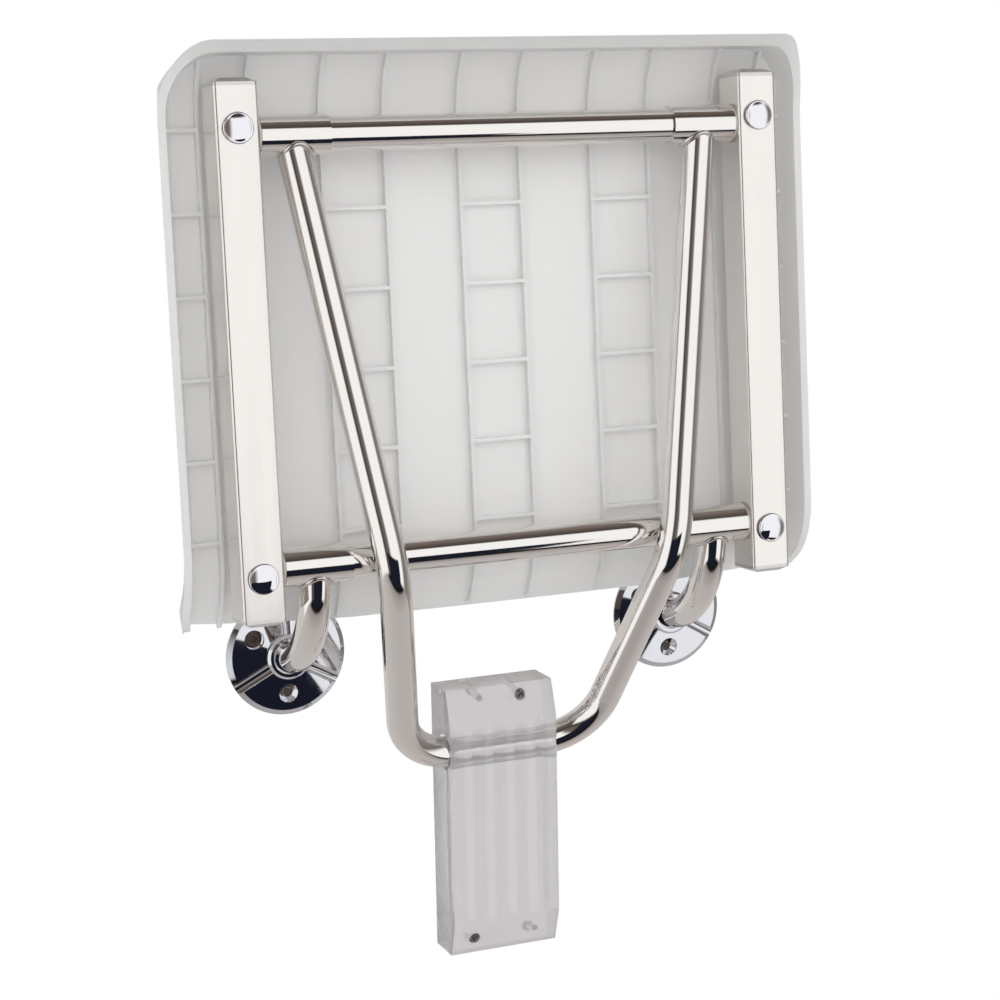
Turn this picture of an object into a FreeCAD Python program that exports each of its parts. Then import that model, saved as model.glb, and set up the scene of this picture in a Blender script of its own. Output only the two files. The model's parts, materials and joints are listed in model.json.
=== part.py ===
import FreeCAD, Part
import math
import os

from FreeCAD import Vector

os.makedirs("parts", exist_ok=True)

# Fold-down wall seat, modelled folded up against the wall.
# Millimetres. The wall is the plane Y = 0 and the seat stands in front of it, on the -Y side.
# +Z is up, X runs along the two crossbars. The origin is on the wall, midway between the two flanges.
# Folded up, the seat and its leg lean a little towards the wall. Both are drawn upright here, and
# turned about the rear crossbar's axis last. The foot stands upright in front of the wall.

# Wall brackets
bar_from_wall = 62.0
folded_lean = 3.7
neck_diameter = 19.0
neck_wall = 1.5
neck_end_gap = 1.5
neck_lead = 0.5
neck_rise = 5.8
neck_hole_gap = 0.62

# Wall flanges
flange_diameter = 73.0
flange_edge_height = 1.2
flange_bevel_height = 3.0
flange_bevel_width = 3.0
flange_dome_height = 6.0
hub_diameter = 27.0
hub_height = 10.0
hub_corner = 1.5
bolt_circle = 46.0
bolt_hole = 5.5
countersink_diameter = 11.6
bolt_hole_count = 3
first_hole_angle = -90.0
channel_radius = 4.5
channel_depth = 1.7

# Crossbars and the sleeves that turn on them
bar_diameter = 20.0
bar_wall = 1.2
bar_spacing = 239.4
sleeve_diameter = 23.0
sleeve_length = 40.0
running_gap = 0.08
ring_thickness = 1.2
ring_diameter = 22.6
side_gap = 0.15

# Square side rails
rail_from_panel_side = 39.5
rail_width = 25.0
rail_wall = 1.2
rail_corner = 2.0
bolt_beyond_bar = 3.8
rail_beyond_bolt = 23.0

# End caps of the rails
cap_rim = 2.0
cap_rise = 2.4
cap_bevel = 0.7
cap_plateau = 15.0
cap_plug_depth = 12.0
cap_plug_wall = 2.0
cap_gap = 0.1

# Seat bolts with their domed covers and threaded inserts
bolt_diameter = 6.0
bolt_clearance = 0.3
bolt_head_diameter = 10.5
bolt_head_height = 1.8
bolt_key = 4.0
bolt_key_depth = 1.0
cover_diameter = 17.6
cover_height = 3.8
cover_edge = 0.9
cover_gap = 0.4
insert_diameter = 9.0
insert_length = 8.0
fit_gap = 0.05

# Seat panel: a shallow moulded tray, open on the side that faces away from the wall
panel_width = 399.0
panel_below_rail = 12.1
panel_above_rail = 23.5
deck_thickness = 4.0
deck_stand_off = 10.0
rim_depth = 16.6
rim_wall = 4.6
front_wall = 6.0
front_corner = 26.0
front_corner_growth = 0.36
rear_narrowing = 5.0
rear_narrowing_length = 52.0
rear_side_spare = 1.5
rear_side_step = 1.6
front_roll_radius = 51.0
front_roll_start = 22.0
rear_curl_radius = 51.5
rear_curl_start = 36.0
rear_curl_angle = 68.0
rear_rim_depth = 1.6
top_edge_round = 6.0
inner_edge_round = 3.0
side_taper = 5.4
rear_bow = 10.0
spare_angle = 14.0
boss_diameter = 19.0
slat_width = 38.0
slat_pitch = 83.7
slat_raise = 1.4
slat_margin = 26.0
rib_thickness = 2.2
rib_height = 4.0
rib_below_edge = 0.6
rail_rib_gap = 0.4
cross_rib_pitch = 46.0
cross_rib_count = 6
cross_rib_start = 41.0

# Brace leg: one bent tube, welded to two sleeves on the front crossbar
leg_diameter = 19.0
leg_wall = 1.2
leg_top_from_rail = 20.3
leg_knee_half_width = 88.0
leg_knee_out = 27.0
leg_knee_drop = 245.7
leg_foot_half_width = 60.5
leg_foot_back = 49.0
leg_foot_drop = 369.2
leg_knee_radius = 60.0
leg_corner_radius = 38.0

# Foot block: two moulded halves screwed together round the bottom of the leg
foot_width = 69.5
foot_above_tube = 39.0
foot_below_tube = 128.0
foot_before_tube = 12.0
foot_behind_tube = 20.0
foot_bevel_depth = 8.0
foot_bevel_height = 24.0
flute_count = 5
flute_depth = 1.0
bore_relief = 1.6
bore_relief_length = 8.0
foot_screw_diameter = 4.0
foot_screw_head = 7.0
foot_screw_head_height = 2.6
foot_screw_length = 19.0
foot_screw_recess = 4.6
foot_screw_recess_width = 1.2
foot_screw_recess_depth = 1.3
foot_screw_inset = 2.0
upper_screw_half_width = 13.0
upper_screw_above = 32.0
lower_screw_half_width = 20.5
lower_screw_above = 10.0

# Places that follow from the driving dimensions
# The neck's quarter bend begins a short way off the wall and ends a short way below the bar
neck_bend_radius = bar_from_wall - neck_end_gap - neck_lead
rear_bar_height = neck_bend_radius + neck_rise
front_bar_height = rear_bar_height + bar_spacing
bar_y = -bar_from_wall
rail_front_y = bar_y - rail_width / 2
rail_back_y = bar_y + rail_width / 2
rear_bolt_height = rear_bar_height - bolt_beyond_bar
front_bolt_height = front_bar_height + bolt_beyond_bar
rail_bottom = rear_bolt_height - rail_beyond_bolt
rail_top = front_bolt_height + rail_beyond_bolt
rail_x = panel_width / 2 - rail_from_panel_side
rail_inner_x = rail_x - rail_width / 2
rail_bore = rail_width - 2 * rail_wall
sleeve_outer_x = rail_inner_x - ring_thickness - 2 * side_gap
sleeve_inner_x = sleeve_outer_x - sleeve_length
bracket_x = sleeve_outer_x - sleeve_length / 2
leg_top_half_width = rail_inner_x - leg_top_from_rail
deck_under_y = rail_back_y + deck_stand_off
edge_y = deck_under_y - rim_depth
panel_bottom = rail_bottom - panel_below_rail
panel_top = rail_top + panel_above_rail
front_roll_z = rail_top - front_roll_start
rear_curl_z = rail_bottom + rear_curl_start
# The deck's rear bends on an arc that starts level with the flat deck and ends just behind the rim's edge
rear_end_radius = rear_curl_radius - rear_rim_depth
rear_end_drop = rear_end_radius * math.sin(math.radians(rear_curl_angle))
rear_end_ahead = rear_end_radius * math.cos(math.radians(rear_curl_angle))
rear_end_back = rear_curl_radius - rear_end_ahead - rim_depth
rear_deck_radius = (rear_end_back**2 + rear_end_drop**2) / (2 * rear_end_back)
lean = math.radians(folded_lean)
run_y = bar_y + leg_foot_back
run_z = front_bar_height - leg_foot_drop
below_bar = run_z - rear_bar_height
foot_tube_y = bar_y + leg_foot_back * math.cos(lean) + below_bar * math.sin(lean)
foot_tube_z = rear_bar_height - leg_foot_back * math.sin(lean) + below_bar * math.cos(lean)
foot_back_y = foot_tube_y + foot_behind_tube
foot_front_y = foot_tube_y - foot_before_tube
foot_top = foot_tube_z + foot_above_tube
foot_bottom = foot_tube_z - foot_below_tube
bolt_places = [
    (side * rail_x, height)
    for side in (-1, 1)
    for height in (rear_bolt_height, front_bolt_height)
]
slat_centres = [-slat_pitch, 0.0, slat_pitch]

X_AXIS = Vector(1, 0, 0)
Y_AXIS = Vector(0, 1, 0)
Z_AXIS = Vector(0, 0, 1)
MORE = 1.0


def save(shape, node):
    """Write one sub-part to its own file."""
    shape.exportStep("parts/" + node + ".step")


def rod(start, length, diameter, direction):
    """A round bar from start along direction."""
    return Part.makeCylinder(diameter / 2, length, start, direction)


def block(x0, x1, y0, y1, z0, z1):
    """A box between two corners."""
    return Part.makeBox(x1 - x0, y1 - y0, z1 - z0, Vector(x0, y0, z0))


def mirrored(shape):
    """The same shape on the other side of the middle plane."""
    return shape.mirror(Vector(0, 0, 0), X_AXIS)


def leaned(shape):
    """The shape turned about the rear crossbar's axis, top towards the wall."""
    turned = shape.copy()
    turned.rotate(Vector(0, bar_y, rear_bar_height), X_AXIS, -folded_lean)
    return turned


def face_of(edges):
    """A flat face inside a closed chain of edges."""
    return Part.Face(Part.Wire(edges))


def line(a, b):
    """A straight edge."""
    return Part.makeLine(a, b)


def polygon_face(points):
    """A flat face from corner points."""
    return Part.Face(Part.makePolygon(points + [points[0]]))


def bend(before, corner, after, radius):
    """The tangent points and middle point of a round bend at a corner of a path."""
    u = (before - corner).normalize()
    v = (after - corner).normalize()
    half = u.getAngle(v) / 2
    reach = radius / math.tan(half)
    inward = (u + v).normalize()
    centre = corner + inward * (radius / math.sin(half))
    return corner + u * reach, centre - inward * radius, corner + v * reach


def bent_path(points, radii):
    """A wire of straight runs joined by tangent bends, one radius for each inner point."""
    edges = []
    start = points[0]
    for index, radius in enumerate(radii):
        first, middle, last = bend(points[index], points[index + 1], points[index + 2], radius)
        edges.append(line(start, first))
        edges.append(Part.Arc(first, middle, last).toShape())
        start = last
    edges.append(line(start, points[-1]))
    return Part.Wire(edges)


def swept(path, diameter):
    """A solid round bar along a path."""
    first = path.Edges[0]
    start = first.Vertexes[0].Point
    direction = first.Vertexes[1].Point - start
    circle = Part.Wire(Part.makeCircle(diameter / 2, start, direction))
    return path.makePipeShell([circle], True, False)


# Wall brackets


def wall_flange():
    """Domed round flange with a hub, three countersunk holes and three radial channels."""
    outer = flange_diameter / 2
    hub = hub_diameter / 2
    bore = neck_diameter / 2 + neck_hole_gap
    bevel_top = outer - flange_bevel_width
    profile = [
        Vector(bore, 0, 0),
        Vector(outer, 0, 0),
        Vector(outer, -flange_edge_height, 0),
        Vector(bevel_top, -flange_bevel_height, 0),
        Vector(hub, -flange_dome_height, 0),
        Vector(hub, -hub_height + hub_corner, 0),
        Vector(hub - hub_corner, -hub_height, 0),
        Vector(bore, -hub_height, 0),
    ]
    flange = polygon_face(profile).revolve(Vector(0, 0, 0), Y_AXIS, 360)
    slope = Vector(bevel_top - hub, flange_dome_height - flange_bevel_height, 0)
    run = slope.normalize()
    channel_start = Vector(hub, -flange_dome_height - channel_radius + channel_depth, 0)
    channel = Part.makeCylinder(channel_radius, flange_diameter / 2, channel_start, run)
    step = 360.0 / bolt_hole_count
    for index in range(bolt_hole_count):
        hole_angle = math.radians(first_hole_angle + index * step)
        place = Vector(math.cos(hole_angle), 0, math.sin(hole_angle)) * (bolt_circle / 2)
        flange = flange.cut(wall_hole(place))
        turned = channel.copy()
        turned.rotate(Vector(0, 0, 0), Y_AXIS, -(first_hole_angle + (index + 0.5) * step))
        flange = flange.cut(turned)
    return flange


def wall_hole(place):
    """A through hole with its countersink, as a solid to cut away."""
    radius = bolt_hole / 2
    sink = countersink_diameter / 2
    face_y = -flange_dome_height
    hole = rod(place + Vector(0, MORE, 0), flange_dome_height + 2 * MORE, bolt_hole, -Y_AXIS)
    sink_depth = sink - radius
    seat_y = -flange_bevel_height + sink_depth - MORE / 2
    cone = Part.makeCone(radius, sink, sink_depth, place + Vector(0, seat_y, 0), -Y_AXIS)
    mouth = rod(place + Vector(0, seat_y - sink_depth, 0), -face_y, countersink_diameter, -Y_AXIS)
    return hole.fuse(cone).fuse(mouth)


def bracket_neck():
    """Bent tube from the sleeve down and back into the flange, coped to the sleeve."""
    path = bent_path(
        [
            Vector(0, bar_y, rear_bar_height),
            Vector(0, bar_y, 0),
            Vector(0, -neck_end_gap, 0),
        ],
        [neck_bend_radius],
    )
    tube = swept(path, neck_diameter).cut(swept(path, neck_diameter - 2 * neck_wall))
    reach = Vector(-sleeve_length / 2, bar_y, rear_bar_height)
    return tube.cut(rod(reach, sleeve_length, sleeve_diameter, X_AXIS))


def sleeve(height):
    """Plain sleeve that turns on a crossbar, on the right-hand side."""
    start = Vector(sleeve_inner_x, bar_y, height)
    bore = bar_diameter + 2 * running_gap
    return rod(start, sleeve_length, sleeve_diameter, X_AXIS).cut(
        rod(start, sleeve_length, bore, X_AXIS)
    )


def spacer_ring(height):
    """Thin washer between a rail and the sleeve beside it."""
    start = Vector(rail_inner_x - side_gap - ring_thickness, bar_y, height)
    bore = bar_diameter + 2 * running_gap
    return rod(start, ring_thickness, ring_diameter, X_AXIS).cut(
        rod(start, ring_thickness, bore, X_AXIS)
    )


# Seat frame


def crossbar(height):
    """Round tube welded between the inner faces of the two rails."""
    start = Vector(-rail_inner_x, bar_y, height)
    bar = rod(start, 2 * rail_inner_x, bar_diameter, X_AXIS)
    return bar.cut(rod(start, 2 * rail_inner_x, bar_diameter - 2 * bar_wall, X_AXIS))


def square_prism(width, corner, z0, z1):
    """An upright square bar with rounded corners, centred on a rail."""
    half = width / 2
    centre_x = rail_x
    bar = block(centre_x - half, centre_x + half, bar_y - half, bar_y + half, z0, z1)
    upright = [e for e in bar.Edges if abs(e.tangentAt(e.FirstParameter).z) > 0.5]
    return bar.makeFillet(corner, upright)


def rail():
    """Square tube on the right-hand side, with holes for both bolts."""
    inner_corner = max(rail_corner - rail_wall, rail_wall / 2)
    tube = square_prism(rail_width, rail_corner, rail_bottom, rail_top)
    tube = tube.cut(square_prism(rail_bore, inner_corner, rail_bottom - MORE, rail_top + MORE))
    centre_x = rail_x
    for height in (rear_bolt_height, front_bolt_height):
        front = Vector(centre_x, rail_front_y - MORE, height)
        hole = bolt_diameter + 2 * bolt_clearance
        tube = tube.cut(rod(front, rail_width + 2 * MORE, hole, Y_AXIS))
    return tube


def square_wire(width, z):
    """A square outline centred on a rail at one height."""
    half = width / 2
    centre_x = rail_x
    corners = [
        Vector(centre_x - half, bar_y - half, z),
        Vector(centre_x + half, bar_y - half, z),
        Vector(centre_x + half, bar_y + half, z),
        Vector(centre_x - half, bar_y + half, z),
    ]
    return Part.makePolygon(corners + [corners[0]])


def rail_cap(end_z, up):
    """End cap: a hollow plug in the tube, a rim level with its walls and a hipped top."""
    head_z = sorted((end_z, end_z + up * cap_rim))
    head = square_prism(rail_width, rail_corner, head_z[0], head_z[1])
    hip_base = rail_width - 2 * cap_bevel
    hip = Part.makeLoft(
        [
            square_wire(hip_base, end_z + up * cap_rim),
            square_wire(cap_plateau, end_z + up * (cap_rim + cap_rise)),
        ],
        True,
    )
    plug_width = rail_bore - 2 * cap_gap
    plug_z = sorted((end_z, end_z - up * cap_plug_depth))
    plug = square_prism(plug_width, rail_wall, plug_z[0], plug_z[1])
    hollow_z = sorted((end_z, end_z - up * (cap_plug_depth + MORE)))
    hollow_width = plug_width - 2 * cap_plug_wall
    plug = plug.cut(square_prism(hollow_width, rail_wall / 2, hollow_z[0], hollow_z[1]))
    return head.fuse(hip).fuse(plug).removeSplitter()


# Fasteners of the seat


def seat_bolts():
    """Four round-headed bolts through rail and panel boss."""
    length = deck_under_y - rail_front_y - (deck_stand_off - insert_length)
    bolts = []
    for x, height in bolt_places:
        seat = Vector(x, rail_front_y, height)
        shank = rod(seat, length, bolt_diameter, Y_AXIS)
        head = rod(seat, bolt_head_height, bolt_head_diameter, -Y_AXIS)
        key = hex_key(Vector(x, rail_front_y - bolt_head_height, height))
        bolts.append(shank.fuse(head).cut(key).removeSplitter())
    return Part.makeCompound(bolts)


def hex_key(top):
    """Six-sided key recess, cut into a head from its top."""
    reach = bolt_key / 2 / math.cos(math.radians(30))
    corners = []
    for index in range(6):
        angle = math.radians(60 * index)
        corners.append(top + Vector(math.cos(angle), 0, math.sin(angle)) * reach)
    return polygon_face(corners).extrude(Vector(0, bolt_key_depth, 0))


def threaded_inserts():
    """Four round inserts in the panel bosses."""
    inserts = []
    for x, height in bolt_places:
        start = Vector(x, rail_back_y, height)
        body = rod(start, insert_length, insert_diameter - 2 * fit_gap, Y_AXIS)
        bore = rod(start, insert_length, bolt_diameter + 2 * fit_gap, Y_AXIS)
        inserts.append(body.cut(bore))
    return Part.makeCompound(inserts)


def bolt_covers():
    """Four domed covers over the bolt heads."""
    radius = cover_diameter / 2
    rise = cover_height - cover_edge
    ball = (radius * radius + rise * rise) / (2 * rise)
    pocket_depth = bolt_head_height + 2 * fit_gap
    pocket_diameter = bolt_head_diameter + 2 * cover_gap
    covers = []
    for x, height in bolt_places:
        seat = Vector(x, rail_front_y, height)
        cover = rod(seat, cover_height + MORE, cover_diameter, -Y_AXIS)
        cover = cover.common(Part.makeSphere(ball, seat + Y_AXIS * (ball - cover_height)))
        covers.append(cover.cut(rod(seat, pocket_depth, pocket_diameter, -Y_AXIS)))
    return Part.makeCompound(covers)


# Seat panel


def front_point(radius, z):
    """Point on the front roll at a given distance from the roll's centre and height z."""
    centre_y = edge_y - front_roll_radius
    rise = z - front_roll_z
    return Vector(0, centre_y + math.sqrt(radius * radius - rise * rise), z)


def rear_point(radius, angle):
    """Point on the rear curl at a given distance from the curl's centre and turned angle."""
    turn = math.radians(angle)
    centre_y = edge_y + rear_curl_radius
    return Vector(0, centre_y - radius * math.cos(turn), rear_curl_z - radius * math.sin(turn))


def level_edges(depth, front_z):
    """The seat's side profile at a depth behind the rim's edge: flat middle, then roll."""
    front_radius = front_roll_radius + depth
    flat_y = edge_y + depth
    flat_rear = Vector(0, flat_y, rear_curl_z)
    flat_front = Vector(0, flat_y, front_roll_z)
    half_z = (front_roll_z + front_z) / 2
    front_end = front_point(front_radius, front_z)
    flat = line(flat_rear, flat_front)
    roll = Part.Arc(flat_front, front_point(front_radius, half_z), front_end).toShape()
    return [flat, roll], flat_rear, front_end


def band(depth0, depth1, front_z, x0, x1):
    """A layer of the panel between two depths and two sides, ahead of the rear curl."""
    low, low_rear, low_front = level_edges(depth0, front_z)
    high, high_rear, high_front = level_edges(depth1, front_z)
    face = face_of(low + [line(low_front, high_front)] + high[::-1] + [line(high_rear, low_rear)])
    face.translate(Vector(x0, 0, 0))
    return face.extrude(Vector(x1 - x0, 0, 0))


def section_face(inset, depth0, depth1, corner):
    """Cross-section of the tray from side to side, at the start of the flat middle."""
    taper = side_taper / (rim_depth + deck_thickness)
    low = panel_width / 2 - inset - max(depth0, 0) * taper
    high = panel_width / 2 - inset - depth1 * taper
    y0 = edge_y + depth0
    y1 = edge_y + depth1
    z = rear_curl_z
    right = [Vector(low, y0, z), Vector(low, max(y0, edge_y), z), Vector(high, y1, z)]
    middle = Vector(0, y1, z)
    first, mid, last = bend(right[1], right[2], middle, corner)
    left = [Vector(-first.x, first.y, z), Vector(-mid.x, mid.y, z), Vector(-last.x, last.y, z)]
    edges = [line(Vector(-low, y0, z), right[0])]
    if right[1].y > right[0].y:
        edges.append(line(right[0], right[1]))
    edges += [
        line(right[1], first),
        Part.Arc(first, mid, last).toShape(),
        line(last, left[2]),
        Part.Arc(left[2], left[1], left[0]).toShape(),
        line(left[0], Vector(-low, right[1].y, z)),
    ]
    if right[1].y > right[0].y:
        edges.append(line(Vector(-low, right[1].y, z), Vector(-low, y0, z)))
    return face_of(edges)


def tray(inset, depth0, depth1, corner):
    """The cross-section carried along the curl, the flat middle and the roll."""
    face = section_face(inset, depth0, depth1, corner)
    flat = face.extrude(Vector(0, 0, front_roll_z - rear_curl_z))
    curl_axis = Vector(0, edge_y + rear_curl_radius, rear_curl_z)
    curl = face.revolve(curl_axis, X_AXIS, rear_curl_angle + spare_angle)
    top_face = face.copy()
    top_face.translate(Vector(0, 0, front_roll_z - rear_curl_z))
    roll_axis = Vector(0, edge_y - front_roll_radius, front_roll_z)
    roll = top_face.revolve(roll_axis, X_AXIS, 90)
    return flat.fuse([curl, roll])


def front_outline(half, high, radius, y):
    """Outline with two rounded front corners, open space below it closed by a straight line."""
    low = panel_bottom - 2 * rear_curl_radius
    corners = [
        Vector(half, y, low),
        Vector(half, y, high),
        Vector(-half, y, high),
        Vector(-half, y, low),
    ]
    path = bent_path(corners, [radius, radius])
    return Part.Wire(path.Edges + [line(corners[-1], corners[0])])


def front_prism(inset, wall):
    """Keeps what lies below the front edge; its two corners grow rounder towards the wall."""
    half = panel_width / 2 - inset
    high = panel_top - wall
    tip_y = front_point(front_roll_radius, panel_top).y
    near_y = tip_y - front_corner / 2
    near_radius = front_corner * (1 - front_corner_growth / 2) - inset
    far_radius = front_corner - tip_y * front_corner_growth - inset
    outlines = [
        front_outline(half, high, near_radius, near_y),
        front_outline(half, high, far_radius, 0),
    ]
    return Part.makeLoft(outlines, True, True)


def rear_prism(inset, beyond):
    """Keeps what lies in front of the bowed rear edge; its two sides close in towards that edge."""
    half = panel_width / 2 - inset
    far = panel_top - panel_bottom
    turn = math.radians(rear_curl_angle)
    end = rear_point(rear_curl_radius, rear_curl_angle)
    onward = Vector(0, math.sin(turn), -math.cos(turn))
    outward = Vector(0, -math.cos(turn), -math.sin(turn))
    edge_half = X_AXIS * (half - rear_narrowing)
    full_half = X_AXIS * (half + rear_side_spare)
    middle_half = full_half - X_AXIS * rear_side_step
    edge_place = end + onward * (beyond - rear_bow / 2)
    middle_place = end - onward * (rear_narrowing_length / 2)
    full_place = end - onward * rear_narrowing_length
    far_place = end - onward * far
    face = face_of(
        [
            Part.Arc(
                edge_place - edge_half,
                end + onward * (beyond + rear_bow / 2),
                edge_place + edge_half,
            ).toShape(),
            line(edge_place + edge_half, end + edge_half),
            Part.Arc(end + edge_half, middle_place + middle_half, full_place + full_half).toShape(),
            line(full_place + full_half, far_place + full_half),
            line(far_place + full_half, far_place - full_half),
            line(far_place - full_half, full_place - full_half),
            Part.Arc(full_place - full_half, middle_place - middle_half, end - edge_half).toShape(),
            line(end - edge_half, edge_place - edge_half),
        ]
    )
    face.translate(outward * (-far))
    return face.extrude(outward * (2 * far))


def behind_rear_deck(depth):
    """All that lies towards the wall from a depth behind the underside of the deck's curved rear."""
    start = Vector(-panel_width, deck_under_y + rear_deck_radius, rear_curl_z)
    drum = rod(start, 2 * panel_width, 2 * (rear_deck_radius - depth), X_AXIS)
    low_z = rear_curl_z - rear_deck_radius
    return drum.common(block(-panel_width, panel_width, edge_y, start.y, low_z, rear_curl_z))


def panel_shell():
    """The deck and its rim, which grows lower along the curved rear."""
    full_depth = rim_depth + deck_thickness
    shell = tray(0, 0, full_depth, top_edge_round)
    shell = shell.common(front_prism(0, 0)).common(rear_prism(0, 0))
    hollow = tray(rim_wall, -rim_depth, rim_depth, inner_edge_round)
    hollow = hollow.common(front_prism(rim_wall, front_wall))
    hollow = hollow.common(rear_prism(rim_wall, 2 * rear_bow))
    hollow = hollow.cut(behind_rear_deck(0))
    return shell.cut(hollow).cut(behind_rear_deck(deck_thickness))


def deck_slats():
    """Low raised bars on the sitting side."""
    bars = []
    full_depth = rim_depth + deck_thickness
    lap = deck_thickness / 2
    for centre in slat_centres:
        x0 = centre - slat_width / 2
        x1 = centre + slat_width / 2
        front_z = panel_top - slat_margin
        bars.append(
            band(full_depth - lap, full_depth + slat_raise, front_z, x0, x1)
        )
    return bars


def rib_lines():
    """The X places of the ribs that run from back to front."""
    lines = []
    for centre in slat_centres:
        lines += [centre - slat_width / 2, centre + slat_width / 2]
    beside_rail = rail_width / 2 + rib_thickness / 2 + rail_rib_gap
    for side in (-1, 1):
        lines += [side * rail_x - beside_rail, side * rail_x + beside_rail]
    return lines


def rear_rib(x):
    """The part of a long rib that follows the deck's curved rear and stays behind the rim's edge."""
    half = rib_thickness / 2
    curved = behind_rear_deck(-rib_height).cut(behind_rear_deck(deck_thickness / 2))
    start = Vector(x - half, edge_y + rear_curl_radius, rear_curl_z)
    return curved.common(rod(start, rib_thickness, 2 * (rear_curl_radius - rib_below_edge), X_AXIS))


def panel_ribs():
    """Long ribs under the deck, and short cross ribs like ladder rungs between some of them."""
    ribs = []
    depth0 = rim_depth - rib_height
    depth1 = rim_depth + deck_thickness / 2
    front_z = panel_top - front_wall
    ahead_of_edge = rear_prism(rim_wall / 2, 0)
    half = rib_thickness / 2
    for x in rib_lines():
        rib = band(depth0, depth1, front_z + MORE, x - half, x + half)
        ribs.append(rib.fuse(rear_rib(x).common(ahead_of_edge)))
    outer_rib = rail_x + rail_width / 2 + rib_thickness + rail_rib_gap
    edge_inner = panel_width / 2 - rim_wall / 2 - side_taper
    spans = [(c - slat_width / 2, c + slat_width / 2) for c in slat_centres]
    spans += [(-edge_inner, -outer_rib + half), (outer_rib - half, edge_inner)]
    y0 = deck_under_y - rib_height
    y1 = deck_under_y + deck_thickness / 2
    for index in range(cross_rib_count):
        z = rail_bottom + cross_rib_start + index * cross_rib_pitch
        for x0, x1 in spans:
            ribs.append(block(x0, x1, y0, y1, z - half, z + half))
    return ribs


def panel_bosses():
    """Four round seats for the rails, which also hold the threaded inserts."""
    bosses = []
    for x, height in bolt_places:
        start = Vector(x, rail_back_y, height)
        bosses.append(rod(start, deck_stand_off + deck_thickness / 2, boss_diameter, Y_AXIS))
    return bosses


def seat_panel():
    """The whole moulded panel."""
    panel = panel_shell().fuse(deck_slats() + panel_ribs() + panel_bosses())
    for x, height in bolt_places:
        start = Vector(x, rail_back_y - MORE, height)
        depth = insert_length + MORE + fit_gap
        panel = panel.cut(rod(start, depth, insert_diameter, Y_AXIS))
    return panel.removeSplitter()


# Brace leg


def leg_points():
    """Corner points of the leg's centre line, from the left top to the right top."""
    right = [
        Vector(leg_foot_half_width, run_y, run_z),
        Vector(leg_knee_half_width, bar_y - leg_knee_out, front_bar_height - leg_knee_drop),
        Vector(leg_top_half_width, bar_y, front_bar_height),
    ]
    left = [Vector(-p.x, p.y, p.z) for p in reversed(right)]
    return left + right


def leg_tube():
    """The bent tube, coped at both ends to the sleeves it is welded to."""
    radii = [leg_knee_radius, leg_corner_radius, leg_corner_radius, leg_knee_radius]
    path = bent_path(leg_points(), radii)
    tube = swept(path, leg_diameter).cut(swept(path, leg_diameter - 2 * leg_wall))
    half = rail_inner_x
    start = Vector(-half, bar_y, front_bar_height)
    tube = tube.cut(rod(start, 2 * half, sleeve_diameter, X_AXIS))
    # What is left of the tube above the sleeves is taken off
    return max(tube.Solids, key=lambda solid: solid.Volume)


# Foot block


def foot_outline(y0, y1):
    """Plan outline of the foot between two depths, with a fluted front."""
    half = foot_width / 2
    flute = foot_width / flute_count
    edges = []
    if y0 <= foot_front_y:
        for index in range(flute_count):
            x0 = -half + index * flute
            start = Vector(x0, y0 + flute_depth, 0)
            top = Vector(x0 + flute / 2, y0, 0)
            end = Vector(x0 + flute, y0 + flute_depth, 0)
            edges.append(Part.Arc(start, top, end).toShape())
        front_y = y0 + flute_depth
    else:
        edges.append(line(Vector(-half, y0, 0), Vector(half, y0, 0)))
        front_y = y0
    edges.append(line(Vector(half, front_y, 0), Vector(half, y1, 0)))
    edges.append(line(Vector(half, y1, 0), Vector(-half, y1, 0)))
    edges.append(line(Vector(-half, y1, 0), Vector(-half, front_y, 0)))
    return face_of(edges)


def foot_blank(y0, y1):
    """Upright block of the foot with its fluted, bevelled front."""
    face = foot_outline(y0, y1)
    face.translate(Vector(0, 0, foot_bottom))
    blank = face.extrude(Vector(0, 0, foot_top - foot_bottom))
    half = foot_width / 2 + MORE
    for end_z, inward in ((foot_top, -1), (foot_bottom, 1)):
        wedge = polygon_face(
            [
                Vector(-half, foot_front_y - MORE, end_z + inward * foot_bevel_height),
                Vector(-half, foot_front_y, end_z + inward * foot_bevel_height),
                Vector(-half, foot_front_y + foot_bevel_depth, end_z),
                Vector(-half, foot_front_y + foot_bevel_depth, end_z - inward * MORE),
                Vector(-half, foot_front_y - MORE, end_z - inward * MORE),
            ]
        )
        blank = blank.cut(wedge.extrude(Vector(2 * half, 0, 0)))
    return blank


def foot_bore():
    """The hole for the leg, opened out at both ends where the tube starts to bend."""
    half = foot_width / 2
    bore = leg_diameter + 2 * running_gap
    wide = bore + 2 * bore_relief
    start = Vector(-half - MORE, foot_tube_y, foot_tube_z)
    hole = rod(start, foot_width + 2 * MORE, bore, X_AXIS)
    for side in (-1, 1):
        inner = Vector(side * (half - bore_relief_length), foot_tube_y, foot_tube_z)
        cone = Part.makeCone(bore / 2, wide / 2, bore_relief_length, inner, X_AXIS * side)
        hole = hole.fuse(cone)
    return hole


def foot_screw_places():
    """Each screw's place and the side its head is on: -1 in front, 1 at the back."""
    upper_z = foot_tube_z + upper_screw_above
    lower_z = foot_bottom + lower_screw_above
    return [
        (upper_screw_half_width, upper_z, -1),
        (-upper_screw_half_width, upper_z, 1),
        (-lower_screw_half_width, lower_z, -1),
        (lower_screw_half_width, lower_z, 1),
    ]


def screw_face_y(z, head_side):
    """Where the underside of a screw's head sits."""
    if head_side > 0:
        return foot_back_y - foot_screw_inset - foot_screw_head_height
    from_end = min(foot_top - z, z - foot_bottom)
    slope = 1 - min(from_end / foot_bevel_height, 1)
    front = foot_front_y + foot_bevel_depth * slope
    return front + foot_screw_inset + foot_screw_head_height


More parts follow.
